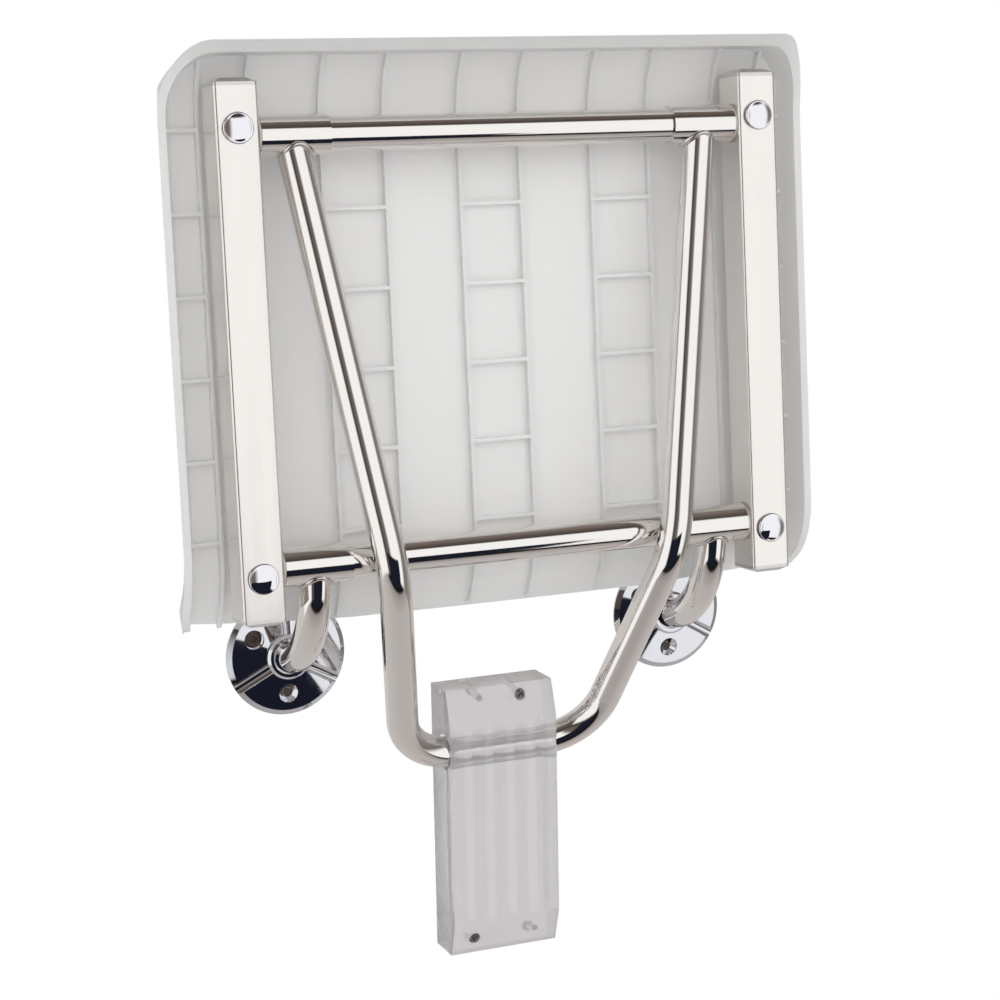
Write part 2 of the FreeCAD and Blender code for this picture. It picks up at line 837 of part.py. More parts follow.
def foot_screw(x, z, head_side, gap):
    """One round-headed screw, made larger all round by a gap when it is used as a hole."""
    seat_y = screw_face_y(z, head_side)
    inward = Vector(0, -head_side, 0)
    outward = Vector(0, head_side, 0)
    seat = Vector(x, seat_y, z)
    shank = rod(seat, foot_screw_length + gap, foot_screw_diameter + 2 * gap, inward)
    tall = foot_screw_head_height if gap == 0 else foot_before_tube + foot_behind_tube
    head_start = seat + inward * gap
    head = rod(head_start, tall + gap, foot_screw_head + 2 * gap, outward)
    return shank.fuse(head)


def cross_recess(x, z, head_side):
    """Cross-shaped driver recess of one screw."""
    width = foot_screw_recess_width
    reach = foot_screw_recess / 2
    depth = foot_screw_recess_depth
    top_y = screw_face_y(z, head_side) + head_side * foot_screw_head_height
    y_pair = sorted((top_y, top_y - head_side * depth))
    across = block(x - reach, x + reach, y_pair[0], y_pair[1], z - width / 2, z + width / 2)
    along = block(x - width / 2, x + width / 2, y_pair[0], y_pair[1], z - reach, z + reach)
    return across.fuse(along)


def foot_half(y0, y1):
    """One half of the foot, between two depths."""
    half = foot_blank(y0, y1).cut(foot_bore())
    for x, z, head_side in foot_screw_places():
        half = half.cut(foot_screw(x, z, head_side, fit_gap))
    return half.removeSplitter()


def foot_screws():
    """The four screws that clamp the halves together."""
    screws = []
    for x, z, head_side in foot_screw_places():
        screw = foot_screw(x, z, head_side, 0).cut(cross_recess(x, z, head_side))
        screws.append(screw.removeSplitter())
    return Part.makeCompound(screws)


def build():
    """Make every sub-part and write it."""
    flange = wall_flange()
    flange.translate(Vector(bracket_x, 0, 0))
    neck = bracket_neck()
    neck.translate(Vector(bracket_x, 0, 0))
    pairs = {
        "wall_flange": flange,
        "bracket_neck": neck,
        "bracket_sleeve": sleeve(rear_bar_height),
        "leg_sleeve": leaned(sleeve(front_bar_height)),
        "spacer_ring_rear": leaned(spacer_ring(rear_bar_height)),
        "spacer_ring_front": leaned(spacer_ring(front_bar_height)),
        "side_rail": leaned(rail()),
        "rail_cap_rear": leaned(rail_cap(rail_bottom, -1)),
        "rail_cap_front": leaned(rail_cap(rail_top, 1)),
    }
    for name, shape in pairs.items():
        save(shape, name + "_right")
        save(mirrored(shape), name + "_left")
    save(leaned(crossbar(front_bar_height)), "crossbar_front")
    save(leaned(crossbar(rear_bar_height)), "crossbar_rear")
    save(leaned(seat_panel()), "seat_panel")
    save(leaned(seat_bolts()), "seat_bolts")
    save(leaned(threaded_inserts()), "threaded_inserts")
    save(leaned(bolt_covers()), "bolt_covers")
    save(leaned(leg_tube()), "leg_tube")
    save(foot_half(foot_front_y, foot_tube_y - fit_gap), "foot_front_half")
    save(foot_half(foot_tube_y + fit_gap, foot_back_y), "foot_back_half")
    save(foot_screws(), "foot_screws")


build()
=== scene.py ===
"""Dressed scene of a fold-down wall seat, folded up against the wall."""

import json
import logging
import math
from dataclasses import dataclass, field
from enum import Enum
from typing import Optional, Sequence

import bmesh
import bpy
from mathutils import Euler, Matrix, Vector

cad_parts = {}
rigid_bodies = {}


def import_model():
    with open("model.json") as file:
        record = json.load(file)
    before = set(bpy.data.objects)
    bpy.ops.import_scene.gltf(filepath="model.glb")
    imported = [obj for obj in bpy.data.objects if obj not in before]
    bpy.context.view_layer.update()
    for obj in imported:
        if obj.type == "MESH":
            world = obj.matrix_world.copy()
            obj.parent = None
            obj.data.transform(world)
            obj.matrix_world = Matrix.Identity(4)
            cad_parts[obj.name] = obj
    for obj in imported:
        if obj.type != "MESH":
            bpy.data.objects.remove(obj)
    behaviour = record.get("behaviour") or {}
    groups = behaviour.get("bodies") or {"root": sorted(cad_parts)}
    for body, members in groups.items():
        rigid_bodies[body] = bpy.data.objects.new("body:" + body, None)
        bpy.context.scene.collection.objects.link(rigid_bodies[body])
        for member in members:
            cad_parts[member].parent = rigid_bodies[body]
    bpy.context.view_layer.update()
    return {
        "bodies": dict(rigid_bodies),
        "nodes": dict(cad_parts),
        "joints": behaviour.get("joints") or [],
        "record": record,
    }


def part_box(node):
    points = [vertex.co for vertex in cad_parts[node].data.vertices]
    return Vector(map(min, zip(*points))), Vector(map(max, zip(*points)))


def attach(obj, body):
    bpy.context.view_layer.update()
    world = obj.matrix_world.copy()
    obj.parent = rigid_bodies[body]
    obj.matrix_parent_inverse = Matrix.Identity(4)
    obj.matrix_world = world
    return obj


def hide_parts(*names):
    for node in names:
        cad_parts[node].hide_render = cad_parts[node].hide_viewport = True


LOG = logging.getLogger("wall_seat")
MM = 0.001
# The fine marks' noise: its depth of detail, how fast finer detail fades, and the range it fills
NOISE_DETAIL = 3.0
NOISE_FADE = 0.55
NOISE_LOW, NOISE_HIGH = 0.3, 0.7
SMOOTHEST = 0.01

Point = tuple[float, float, float]


def srgb(code: str) -> tuple[float, float, float, float]:
    """Turn an sRGB hex colour into Blender's linear colour.

    Args:
        code: six hex digits, such as "D2D1D1".

    Returns:
        Linear red, green, blue and an alpha of one.
    """
    values = []
    for start in (0, 2, 4):
        level = int(code[start:start + 2], 16) / 255
        values.append(level / 12.92 if level <= 0.04045 else ((level + 0.055) / 1.055) ** 2.4)
    return values[0], values[1], values[2], 1.0


def add_node(
    tree: bpy.types.NodeTree,
    kind: str,
    settings: Optional[dict[str, object]] = None,
    links: Optional[dict[str, bpy.types.NodeSocket]] = None,
) -> bpy.types.Node:
    """Add one shader node with its settings and incoming links.

    Args:
        tree: the node tree that gets the node.
        kind: the node's Blender type name.
        settings: attributes, or input sockets by name or number, and their values; "stops" are
            a colour ramp's places from 0 to 1 and their sRGB hex colours, in order.
        links: input sockets by name or number and the outputs they are fed from.

    Returns:
        The new node.
    """
    node = tree.nodes.new(kind)
    for name, value in (settings or {}).items():
        if name == "stops":
            elements = node.color_ramp.elements
            while len(elements) < len(value):
                elements.new(1.0)
            for element, (stop, colour) in zip(elements, value):
                element.position = stop
                element.color = srgb(colour)
        elif name.isdigit():
            node.inputs[int(name)].default_value = value
        elif name in node.inputs:
            node.inputs[name].default_value = value
        else:
            setattr(node, name, value)
    for name, source in (links or {}).items():
        tree.links.new(source, node.inputs[int(name) if name.isdigit() else name])
    return node


# The mirrored room, in degrees from straight ahead of the seat, positive to the right or up
ROOM_WALLS = [
    (-180, "D0CDCA"), (-102, "D0CDCA"), (-98, "FFFFFF"), (-48, "FFFFFF"), (-40, "453B38"),
    (-14, "7A706B"), (-4, "FFFFFF"), (50, "FFFFFF"), (62, "746E6B"), (100, "9A9592"),
    (125, "C8C4C1"), (180, "D0CDCA"),
]
ROOM_ROOF_AND_FLOOR = [
    (-180, "C8C5C3"), (-110, "C4C0BE"), (-70, "BAB5B3"), (-50, "9C9694"), (-47, "1A1817"),
    (-34, "1A1817"), (-31, "FFFFFF"), (31, "FFFFFF"), (37, "3C3531"), (60, "5E5651"),
    (90, "857C76"), (140, "B4AEAA"), (180, "D0CDCA"),
]
# White where the walls show between the floor and the roof
ROOM_WALL_BAND = [
    (-90, "000000"), (-34, "000000"), (-31, "FFFFFF"), (31, "FFFFFF"), (37, "000000"),
    (90, "000000"),
]


class Grain(Enum):
    """How a surface's fine marks run."""

    EVEN = "even"
    ALONG_Z = "along z"


@dataclass(frozen=True)
class Finish:
    """One real finish as a procedural material.

    The fine marks are noise in object space, sized in millimetres, which varies the roughness
    a little and raises a faint relief. Marks too fine to show are drawn as coarse as they need
    to be seen.
    """

    name: str
    colour: str
    slot: str
    metallic: float = 0.0
    roughness: float = 0.4
    spread: float = 0.05
    mark_mm: float = 2.0
    relief: float = 0.0
    grain: Grain = Grain.EVEN
    long_marks: float = 0.05
    relief_mm: float = 0.1
    transmission: float = 0.0
    ior: float = 1.5
    subsurface: float = 0.0
    scatter_mm: float = 2.5

    def stretch(self) -> Point:
        """Scale of the marks on each axis, long along the grain."""
        return 1.0, 1.0, self.long_marks if self.grain is Grain.ALONG_Z else 1.0

    def build(self) -> bpy.types.Material:
        """Make the Blender material.

        Returns:
            The material with its node tree.
        """
        material = bpy.data.materials.new(self.name)
        material.use_nodes = True
        tree = material.node_tree
        tree.nodes.clear()
        place = add_node(tree, "ShaderNodeTexCoord")
        sized = add_node(
            tree,
            "ShaderNodeMapping",
            {"Scale": self.stretch()},
            {"Vector": place.outputs["Object"]},
        )
        noise = add_node(
            tree,
            "ShaderNodeTexNoise",
            {
                "Scale": 1.0 / (self.mark_mm * MM),
                "Detail": NOISE_DETAIL,
                "Roughness": NOISE_FADE,
            },
            {"Vector": sized.outputs["Vector"]},
        )
        rough = add_node(
            tree,
            "ShaderNodeMapRange",
            {
                "From Min": NOISE_LOW,
                "From Max": NOISE_HIGH,
                "To Min": max(self.roughness - self.spread, SMOOTHEST),
                "To Max": self.roughness + self.spread,
            },
            {"Value": noise.outputs["Fac"]},
        )
        shader = add_node(
            tree,
            "ShaderNodeBsdfPrincipled",
            {
                "Base Color": srgb(self.colour),
                "Metallic": self.metallic,
                "IOR": self.ior,
                "Transmission Weight": self.transmission,
                "Subsurface Weight": self.subsurface,
                "Subsurface Scale": self.scatter_mm * MM,
                "Subsurface Radius": (1.0, 1.0, 1.0),
            },
            {"Roughness": rough.outputs["Result"]},
        )
        if self.relief:
            bump = add_node(
                tree,
                "ShaderNodeBump",
                {"Strength": self.relief, "Distance": self.relief_mm * MM},
                {"Height": noise.outputs["Fac"]},
            )
            tree.links.new(bump.outputs["Normal"], shader.inputs["Normal"])
        add_node(tree, "ShaderNodeOutputMaterial", None, {"Surface": shader.outputs["BSDF"]})
        return material


# Bent tubes, sleeves and crossbars: stainless steel tube, buffed to a mirror. It shows long
# hard-edged bands of white, brown and near black that follow each bend.
POLISHED_TUBE = Finish(
    "polished stainless tube", "F3F0ED", "polished_tube",
    metallic=1.0, roughness=0.07, spread=0.02, mark_mm=6.0,
)
# Wall flanges: pressed steel with bright chrome plate. It mirrors cooler and sharper than the
# tubes, with deep blue-black patches.
FLANGE_CHROME = Finish(
    "bright chrome flange", "E2E3E8", "flange_chrome",
    metallic=1.0, roughness=0.05, spread=0.02, mark_mm=5.0,
)
# Bolt covers: small crowned caps in bright chrome plate. Their crowns hold the whole room.
COVER_CHROME = Finish(
    "bright chrome cover", "F0F0F4", "cover_chrome",
    metallic=1.0, roughness=0.04, spread=0.01, mark_mm=3.0,
)
# Square rails: stainless tube brushed fine along its length. It gives a soft, nearly even pale
# glow with faint long clouds; the real grit is finer than the marks drawn here.
SATIN_RAIL = Finish(
    "brushed stainless rail", "F4F0EC", "satin_rail",
    metallic=1.0, roughness=0.22, spread=0.05, mark_mm=9.0, relief=0.02, grain=Grain.ALONG_Z,
)
# Rail end caps: cast metal, polished. They look a shade greyer and softer than the tubes.
CAP_METAL = Finish(
    "polished end cap", "D8D7D6", "cap_metal",
    metallic=1.0, roughness=0.12, spread=0.03, mark_mm=3.0,
)
# Seat bolts and foot screws: plain machined steel, with a dull grey shine.
BOLT_STEEL = Finish(
    "plain steel fastener", "A8A5A2", "bolt_steel",
    metallic=1.0, roughness=0.28, spread=0.05, mark_mm=1.0,
)
# Threaded inserts: turned brass, plain and yellowish.
INSERT_BRASS = Finish(
    "brass insert", "C9A862", "insert_brass",
    metallic=1.0, roughness=0.3, spread=0.05, mark_mm=1.0,
)
# Washers between rails and sleeves: moulded natural nylon, pale and matt.
SPACER_NYLON = Finish(
    "natural nylon washer", "B9B5B0", "spacer_nylon", roughness=0.45, spread=0.05, mark_mm=1.0,
)
# Seat panel: polypropylene from a finely blasted mould. Light soaks in and comes out soft, so
# the ribs read as faint lines on an even milky grey.
FROSTED_PLASTIC = Finish(
    "frosted moulded plastic", "F6F5F4", "frosted_plastic",
    roughness=0.5, spread=0.06, mark_mm=1.5, relief=0.1, transmission=0.3, ior=1.49, subsurface=0.6,
)
# Foot block: clear acrylic, moulded thick. Long flow marks streak it, and it stays a little
# milky, so that the tube and the hidden screws show only softly.
CLEAR_PLASTIC = Finish(
    "clear moulded plastic", "F8F6F7", "clear_plastic",
    roughness=0.12, spread=0.08, mark_mm=3.0, relief=0.45, grain=Grain.ALONG_Z,
    transmission=0.8, ior=1.49,
)
# Wall screws: zinc-plated steel dulled by handling, brownish grey with small pits.
SCREW_ZINC = Finish(
    "dull zinc wall screw", "8C7B72", "bolt_steel",
    metallic=1.0, roughness=0.34, spread=0.08, mark_mm=0.6, relief=0.2,
)
# Painted shade in the open wall holes: a dark matt disc set just off the wall fills the back of
# each hole, standing in for the shade inside it.
PAINTED_HOLE_SHADE = Finish(
    "painted hole shade", "4A403D", "spacer_nylon", roughness=0.5, spread=0.08, mark_mm=0.8, relief=0.1,
)
# Weld beads: the tube's own steel, polished over, so the ripples catch small glints.
WELD_BEAD = Finish(
    "polished weld bead", "E2DDD9", "polished_tube",
    metallic=1.0, roughness=0.14, spread=0.05, mark_mm=1.2, relief=0.3,
)


@dataclass
class Dresser:
    """Keeps the built materials and dresses CAD nodes and new pieces with them."""

    frame: dict
    built: dict[str, bpy.types.Material] = field(default_factory=dict)

    def material(self, finish: Finish) -> bpy.types.Material:
        """Find a finish's Blender material, or build it the first time.

        Args:
            finish: the finish.

        Returns:
            Its material.
        """
        if finish.name not in self.built:
            self.built[finish.name] = finish.build()
        return self.built[finish.name]

    def node(self, name: str, finish: Finish) -> None:
        """Give a CAD node its finish.

        Args:
            name: the CAD node's name.
            finish: the finish it gets.
        """
        piece = self.frame["nodes"][name]
        piece.data.materials.clear()
        piece.data.materials.append(self.material(finish))
        LOG.info("dressed %s with %s", name, finish.name)

    def piece(
        self, name: str, mesh: bpy.types.Mesh, finish: Finish, body: str
    ) -> bpy.types.Object:
        """Put a new piece in the scene on its body.

        Args:
            name: the piece's name.
            mesh: its mesh, in the frame's own place.
            finish: the finish it gets.
            body: the body that it rides on.

        Returns:
            The piece.
        """
        mesh.materials.append(self.material(finish))
        piece = bpy.data.objects.new(name, mesh)
        bpy.context.scene.collection.objects.link(piece)
        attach(piece, body)
        LOG.info("built %s with %s", name, finish.name)
        return piece


def mesh_from(name: str, work: bmesh.types.BMesh, sharp_deg: float = 40.0) -> bpy.types.Mesh:
    """Close a working mesh into a smooth-shaded one.

    Args:
        name: the mesh's name.
        work: the working mesh, which is freed.
        sharp_deg: edges that turn by more than this stay sharp.

    Returns:
        The finished mesh.
    """
    bmesh.ops.recalc_face_normals(work, faces=work.faces)
    mesh = bpy.data.meshes.new(name)
    work.to_mesh(mesh)
    work.free()
    mesh.shade_smooth()
    mesh.set_sharp_from_angle(angle=math.radians(sharp_deg))
    return mesh


def ring_round(
    work: bmesh.types.BMesh, centre: Vector, radius: float, steps: int
) -> list[bmesh.types.BMVert]:
    """Add a circle of points that faces away from the wall.

    Args:
        work: the working mesh.
        centre: the circle's centre.
        radius: its radius.
        steps: how many points it has.

    Returns:
        The points in order.
    """
    turns = [2 * math.pi * step / steps for step in range(steps)]
    return [
        work.verts.new(centre + Vector((math.cos(turn), 0.0, math.sin(turn))) * radius)
        for turn in turns
    ]


def join_rings(
    work: bmesh.types.BMesh, first: list[bmesh.types.BMVert], second: list[bmesh.types.BMVert]
) -> None:
    """Close the strip between two rings with the same number of points.

    Args:
        work: the working mesh.
        first: the points of one ring, in order.
        second: the points of the other.
    """
    count = len(first)
    for step in range(count):
        onward = (step + 1) % count
        work.faces.new((first[step], first[onward], second[onward], second[step]))


def turned_part(
    name: str, place: Point, profile: Sequence[tuple[float, float]], steps: int = 48
) -> bpy.types.Mesh:
    """Make a closed round part whose axis stands square to the wall.

    Args:
        name: the mesh's name.
        place: the point of the axis that lies on the wall.
        profile: radius and distance from the wall of each step, from front to back.
        steps: how many points go round.

    Returns:
        The part's mesh.
    """
    work = bmesh.new()
    rings = [
        ring_round(work, Vector(place) - Vector((0.0, away, 0.0)), radius, steps)
        for radius, away in profile
    ]
    for first, second in zip(rings, rings[1:]):
        join_rings(work, first, second)
    work.faces.new(rings[0])
    work.faces.new(rings[-1])
    return mesh_from(name, work)


def seat_axes() -> tuple[Vector, Vector]:
    """Directions of the folded seat, which leans a little towards the wall.

    Returns:
        The direction up the seat, and the one off its underside towards the room.
    """
    rear_low, rear_high = (Vector(corner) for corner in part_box("crossbar_rear"))
    front_low, front_high = (Vector(corner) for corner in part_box("crossbar_front"))
    up_seat = (front_low + front_high - rear_low - rear_high).normalized()
    off_seat = Vector((1.0, 0.0, 0.0)).cross(up_seat)
    return up_seat, off_seat if off_seat.y < 0 else -off_seat


@dataclass
class CrossScrew:
    """A countersunk screw with a cross-shaped driver recess."""

    head: float = 8.6 * MM
    head_edge: float = 0.25 * MM
    cone: float = 1.9 * MM
    shank: float = 4.4 * MM
    arm: float = 2.3 * MM
    arm_width: float = 1.15 * MM
    recess: float = 1.0 * MM
    recess_taper: float = 0.72
    turn_deg: float = 20.0
    steps: int = 48

    def cross(self, centre: Vector, scale: float) -> list[Vector]:
        """Outline of the recess at one depth.

        Args:
            centre: the outline's centre.
            scale: its size against the recess's mouth.

        Returns:
            Twelve points in order.
        """
        half = self.arm_width / 2
        corner = [(self.arm, -half), (self.arm, half), (half, half)]
        points = []
        for quarter in range(4):
            turn = math.radians(90 * quarter + self.turn_deg)
            for across, up in corner:
                x = across * math.cos(turn) - up * math.sin(turn)
                z = across * math.sin(turn) + up * math.cos(turn)
                points.append(centre + Vector((x, 0.0, z)) * scale)
        return points

    def mesh(self, name: str, place: Point, face_away: float) -> bpy.types.Mesh:
        """Make the screw.

        Args:
            name: the mesh's name.
            place: the point of its axis that lies on the wall.
            face_away: how far the head's face stands off the wall.

        Returns:
            The screw's mesh.
        """
        work = bmesh.new()
        axis = Vector(place)
        face = axis - Vector((0.0, face_away, 0.0))
        rim = ring_round(work, face, self.head / 2 - self.head_edge, self.steps)
        depths = [
            (self.head / 2, self.head_edge),
            (self.head / 2, 2 * self.head_edge),
            (self.shank / 2, self.cone),
            (self.shank / 2, face_away - self.head_edge),
        ]
        last = rim
        for radius, depth in depths:
            ring = ring_round(work, face + Vector((0.0, depth, 0.0)), radius, self.steps)
            join_rings(work, last, ring)
            last = ring
        work.faces.new(last)
        mouth = [work.verts.new(point) for point in self.cross(face, 1.0)]
        floor_centre = face + Vector((0.0, self.recess, 0.0))
        floor = [work.verts.new(point) for point in self.cross(floor_centre, self.recess_taper)]
        join_rings(work, mouth, floor)
        work.faces.new(floor)
        edges = [
            work.edges.get((ring[step], ring[(step + 1) % len(ring)]))
            for ring in (rim, mouth)
            for step in range(len(ring))
        ]
        bmesh.ops.triangle_fill(work, edges=edges, use_beauty=True)
        return mesh_from(name, work)


@dataclass
class BoltCover:
    """A low crowned cover with a rounded edge and a pocket for the bolt's head."""

    crown: float = 1.5 * MM
    edge_round: float = 0.9 * MM
    pocket: float = 11.3 * MM
    pocket_depth: float = 2.2 * MM
    crown_steps: int = 10
    edge_steps: int = 6
    round_steps: int = 64

    def profile(self, radius: float, height: float) -> list[tuple[float, float]]:
        """Radius and height of each step, from the crown's top round to the pocket.

        Args:
            radius: the cover's outer radius.
            height: its height over the rail.

        Returns:
            The steps, without the two closing centres.
        """
        flat = radius - self.edge_round
        ball = (flat**2 + self.crown**2) / (2 * self.crown)
        steps = []
        for step in range(1, self.crown_steps + 1):
            out = flat * step / self.crown_steps
            steps.append((out, height - ball + math.sqrt(ball**2 - out**2)))
        shoulder = height - self.crown
        for step in range(1, self.edge_steps + 1):
            turn = math.radians(90 * step / self.edge_steps)
            drop = self.edge_round * (1 - math.cos(turn))
            steps.append((flat + self.edge_round * math.sin(turn), shoulder - drop))
        steps += [(radius, 0.0), (self.pocket / 2, 0.0), (self.pocket / 2, self.pocket_depth)]
        return steps

    def mesh(self, name: str, corners: Sequence[Vector]) -> bpy.types.Mesh:
        """Make one cover where the CAD cover is.

        Args:
            name: the mesh's name.
            corners: the CAD cover's points.

        Returns:
            The cover's mesh.
        """
        up_seat, off_seat = seat_axes()
        across = Vector((1.0, 0.0, 0.0))
        spans = []
        for axis in (across, up_seat, off_seat):
            reach = [corner.dot(axis) for corner in corners]
            spans.append((min(reach), max(reach)))
        foot = (
            across * sum(spans[0]) / 2 + up_seat * sum(spans[1]) / 2 + off_seat * spans[2][0]
        )
        radius = (spans[0][1] - spans[0][0]) / 2
        work = bmesh.new()
        rings = []
        for out, rise in self.profile(radius, spans[2][1] - spans[2][0]):
            ring = []
            for step in range(self.round_steps):
                turn = 2 * math.pi * step / self.round_steps
                offset = across * math.cos(turn) + up_seat * math.sin(turn)
                ring.append(work.verts.new(foot + offset * out + off_seat * rise))
            rings.append(ring)
        for first, second in zip(rings, rings[1:]):
            join_rings(work, first, second)
        work.faces.new(rings[0])
        work.faces.new(rings[-1])
        return mesh_from(name, work)


@dataclass
class WeldBead:
    """A bead round the joint where a tube meets a sleeve that lies along X."""

    tube: float = 19.0 * MM
    bead: float = 1.5 * MM
    steps: int = 96
    sides: int = 12

    def mesh(self, name: str, sleeve: str, away: Vector) -> bpy.types.Mesh:
        """Make the bead.

        Args:
            name: the mesh's name.
            sleeve: the CAD node of the sleeve.
            away: the tube's direction away from the sleeve.

        Returns:
            The bead's mesh.
        """
        low, high = (Vector(corner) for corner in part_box(sleeve))
        centre = (low + high) / 2
        radius = (high.y - low.y) / 2
        onward = away.normalized()
        across = onward.cross(Vector((1.0, 0.0, 0.0))).normalized()
        side = across.cross(onward)
        path = []
        for step in range(self.steps):
            turn = 2 * math.pi * step / self.steps
            out = (across * math.cos(turn) + side * math.sin(turn)) * (self.tube / 2)
            a = onward.y**2 + onward.z**2
            b = 2 * (out.y * onward.y + out.z * onward.z)
            c = out.y**2 + out.z**2 - radius**2
            reach = (-b + math.sqrt(b * b - 4 * a * c)) / (2 * a)
            path.append((centre + out + onward * reach, out.normalized()))
        work = bmesh.new()
        rings = []
        for step, (point, out) in enumerate(path):
            along = (path[(step + 1) % self.steps][0] - path[step - 1][0]).normalized()
            up = along.cross(out).normalized()
            ring = []
            for side_step in range(self.sides):
                turn = 2 * math.pi * side_step / self.sides
                offset = out * math.cos(turn) + up * math.sin(turn)
                ring.append(work.verts.new(point + offset * self.bead))
            rings.append(ring)
        for step in range(self.steps):
            join_rings(work, rings[step], rings[(step + 1) % self.steps])
        return mesh_from(name, work)


@dataclass
class WallBrackets:
    """Two flanges, necks and sleeves that stay on the wall."""

    sides: Sequence[str] = ("left", "right")
    hole_circle: float = 46.0 * MM
    hole_turns_deg: Sequence[float] = (-90.0, 30.0, 150.0)
    screw_turn_deg: float = 150.0
    screw_face: float = 3.0 * MM
    # Size and place of the dark disc that paints the shade at the back of each open hole
    shade_disc: float = 5.3 * MM
    shade_disc_front: float = 0.9 * MM
    shade_disc_back: float = 0.3 * MM

    def dress(self, dresser: Dresser) -> None:
        """Give every bracket piece its finish, and add its small pieces.

        Args:
            dresser: gives each piece its finish and body.
        """
        for side in self.sides:
            dresser.node(f"wall_flange_{side}", FLANGE_CHROME)
            dresser.node(f"bracket_neck_{side}", POLISHED_TUBE)
            dresser.node(f"bracket_sleeve_{side}", POLISHED_TUBE)
            self.fill_holes(dresser, side)
            name = f"neck_weld_{side}"
            bead = WeldBead().mesh(name, f"bracket_sleeve_{side}", Vector((0.0, 0.0, -1.0)))
            dresser.piece(name, bead, WELD_BEAD, "wall_brackets")

    def fill_holes(self, dresser: Dresser, side: str) -> None:
        """Put one screw in the left flange's upper outer hole, and a dark disc of painted shade at
        the back of each open hole.

        Args:
            dresser: gives the new pieces their finish and body.
            side: which flange.
        """
        low, high = (Vector(corner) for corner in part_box(f"wall_flange_{side}"))
        middle = (low + high) / 2
        for number, turn_deg in enumerate(self.hole_turns_deg, start=1):
            turn = math.radians(turn_deg)
            reach = Vector((math.cos(turn), 0.0, math.sin(turn))) * (self.hole_circle / 2)
            place = (middle.x + reach.x, 0.0, middle.z + reach.z)
            if side == "left" and turn_deg == self.screw_turn_deg:
                screw = CrossScrew().mesh("wall_screw", place, self.screw_face)
                dresser.piece("wall_screw", screw, SCREW_ZINC, "wall_brackets")
                continue
            # The open hole's shade is painted: a dark disc fills its back
            radius = self.shade_disc / 2
            profile = [(radius, self.shade_disc_front), (radius, self.shade_disc_back)]
            name = f"hole_shade_disc_{side}_{number}"
            shade_disc_mesh = turned_part(name, place, profile)
            dresser.piece(name, shade_disc_mesh, PAINTED_HOLE_SHADE, "wall_brackets")


@dataclass
class SeatFrame:
    """Rails, crossbars, caps, washers and bolts of the seat."""

    sides: Sequence[str] = ("left", "right")
    ends: Sequence[str] = ("front", "rear")

    def dress(self, dresser: Dresser) -> None:
        """Give every piece of the seat's frame its finish.

        Args:
            dresser: gives each piece its finish and body.
        """
        for side in self.sides:
            dresser.node(f"side_rail_{side}", SATIN_RAIL)
            for end in self.ends:
                dresser.node(f"rail_cap_{end}_{side}", CAP_METAL)
                dresser.node(f"spacer_ring_{end}_{side}", SPACER_NYLON)
        for end in self.ends:
            dresser.node(f"crossbar_{end}", POLISHED_TUBE)
        dresser.node("seat_bolts", BOLT_STEEL)
        dresser.node("threaded_inserts", INSERT_BRASS)
        self.cover_bolts(dresser)

    def cover_bolts(self, dresser: Dresser) -> None:
        """Put the four covers over the bolt heads, in place of the plainer CAD ones.

        Args:
            dresser: gives the covers their finish and body.
        """
        up_seat, _ = seat_axes()
        plain = dresser.frame["nodes"]["bolt_covers"].data
        points = [vertex.co.copy() for vertex in plain.vertices]
        middle = sum((point.dot(up_seat) for point in points), 0.0) / len(points)
        for side in self.sides:
            for end in self.ends:
                corners = [
                    point
                    for point in points
                    if (point.x < 0) == (side == "left")
                    and (point.dot(up_seat) < middle) == (end == "rear")
                ]
                name = f"bolt_cover_{end}_{side}"
                cover = BoltCover().mesh(name, corners)
                piece = dresser.piece(name, cover, COVER_CHROME, "seat")
                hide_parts("bolt_covers")


@dataclass
class SeatPanel:
    """The moulded panel."""

    def dress(self, dresser: Dresser) -> None:
        """Give the panel its finish."""
        dresser.node("seat_panel", FROSTED_PLASTIC)


@dataclass
class BraceLeg:
    """The bent leg and its sleeves."""

    sides: Sequence[str] = ("left", "right")
    arm_inward: float = 39.2 * MM
    arm_outward: float = 27.0 * MM
    arm_drop: float = 245.7 * MM

    def arm_direction(self, side: str) -> Vector:
        """Direction of an arm away from its sleeve.

        Args:
            side: which arm.

        Returns:
            The direction in the folded-up pose, with the seat's lean.
        """
        up_seat, off_seat = seat_axes()
        inward = Vector((self.arm_inward if side == "left" else -self.arm_inward, 0.0, 0.0))
        return inward + off_seat * self.arm_outward - up_seat * self.arm_drop

    def dress(self, dresser: Dresser) -> None:
        """Give the leg its finish and its weld beads.

        Args:
            dresser: gives each piece its finish and body.
        """
        dresser.node("leg_tube", POLISHED_TUBE)
        for side in self.sides:
            dresser.node(f"leg_sleeve_{side}", POLISHED_TUBE)
            name = f"leg_weld_{side}"
            bead = WeldBead().mesh(name, f"leg_sleeve_{side}", self.arm_direction(side))
            dresser.piece(name, bead, WELD_BEAD, "leg")


@dataclass
class FootBlock:
    """The clear foot block and its screws."""

    def dress(self, dresser: Dresser) -> None:
        """Give the foot its finish.

        Args:
            dresser: gives each piece its finish.
        """
        dresser.node("foot_front_half", CLEAR_PLASTIC)
        dresser.node("foot_back_half", CLEAR_PLASTIC)
        dresser.node("foot_screws", BOLT_STEEL)


